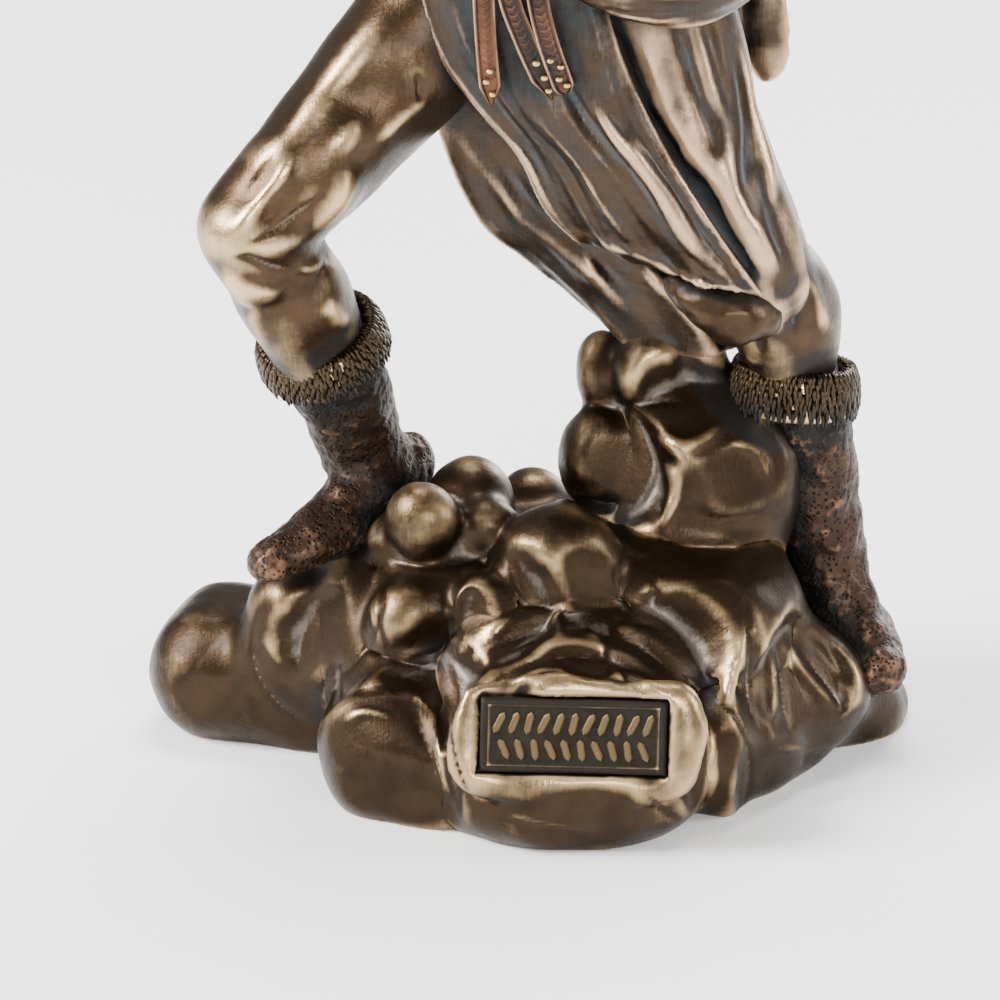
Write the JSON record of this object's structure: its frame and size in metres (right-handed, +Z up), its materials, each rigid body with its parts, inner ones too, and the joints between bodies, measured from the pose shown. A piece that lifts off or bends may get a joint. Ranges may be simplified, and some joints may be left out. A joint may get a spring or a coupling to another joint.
{
  "type": "classical figure statuette",
  "caption": "Bearded classical god striding on a cloud bank in fur-cuffed boots and swept drapery, one arm raised with a thunderbolt; a small tablet is set in the cloud.",
  "frame": {"origin": "middle of the bounding box's bottom, on the flat underside of the cloud", "axes": "+Z up through the figure, -Y towards the viewer (the tablet's side), +X to the viewer's right"},
  "size_m": [0.2068, 0.1024, 0.2723],
  "materials": {
    "antique_bronze": "cold-cast bronze, dark brown patina with rubbed highlights, satin"
  },
  "bodies": {
    "root": {"zeus_statue": "antique_bronze"}
  },
  "joints": []
}
